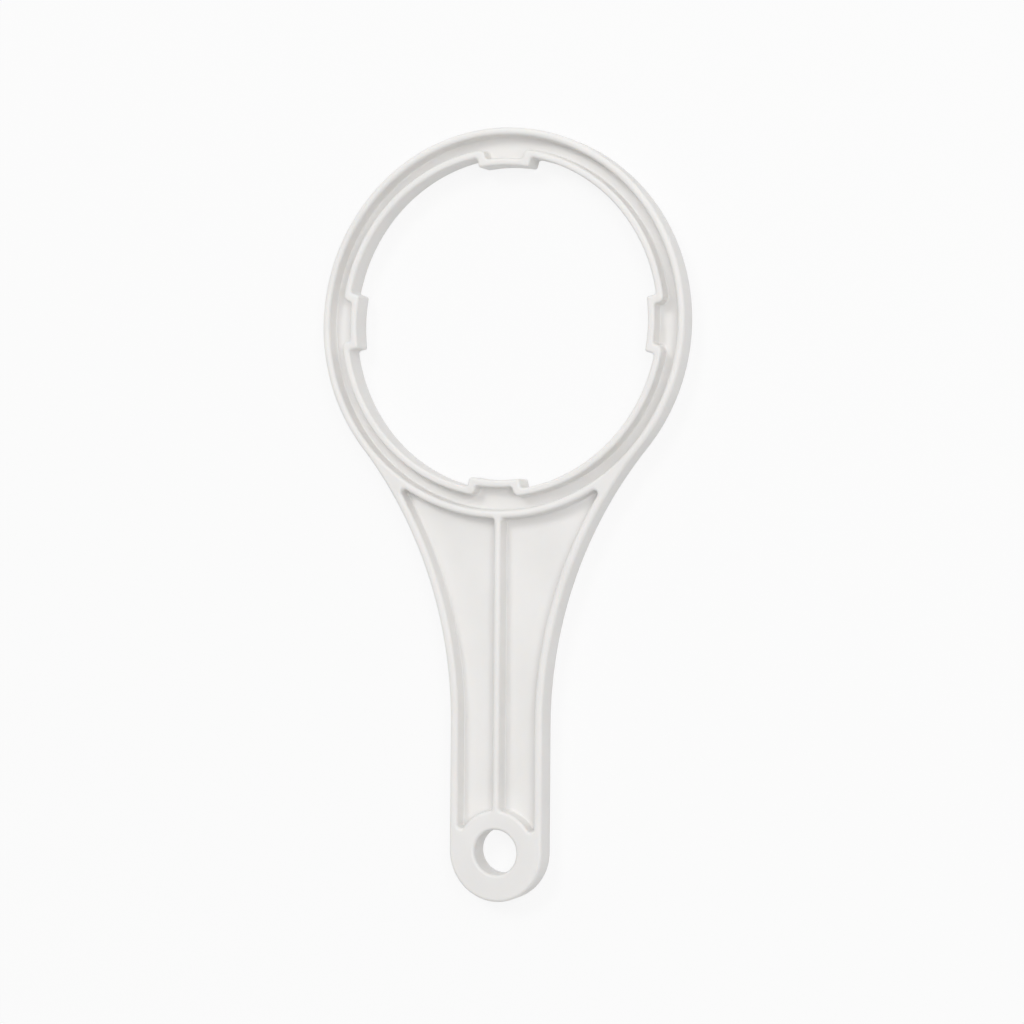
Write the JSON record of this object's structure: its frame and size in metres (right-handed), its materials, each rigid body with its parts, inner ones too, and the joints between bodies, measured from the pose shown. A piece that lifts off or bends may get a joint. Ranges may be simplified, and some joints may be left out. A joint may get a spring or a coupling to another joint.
{
  "type": "water filter socket wrench",
  "caption": "Moulded plastic ring wrench for a water filter housing, with inner driving lugs, a flared ribbed handle and a hanging hole.",
  "frame": {"origin": "centre of the ring on the flat back face", "axes": "+Y along the handle's centre line, from the handle to the ring; +Z out of the back, towards the ribbed face; +X to the right, seen from the ribbed face"},
  "size_m": [0.118, 0.234, 0.008],
  "materials": {
    "moulded_plastic": "off-white moulded polypropylene with a soft satin sheen"
  },
  "bodies": {
    "root": {"wrench_body": "moulded_plastic"}
  },
  "joints": []
}
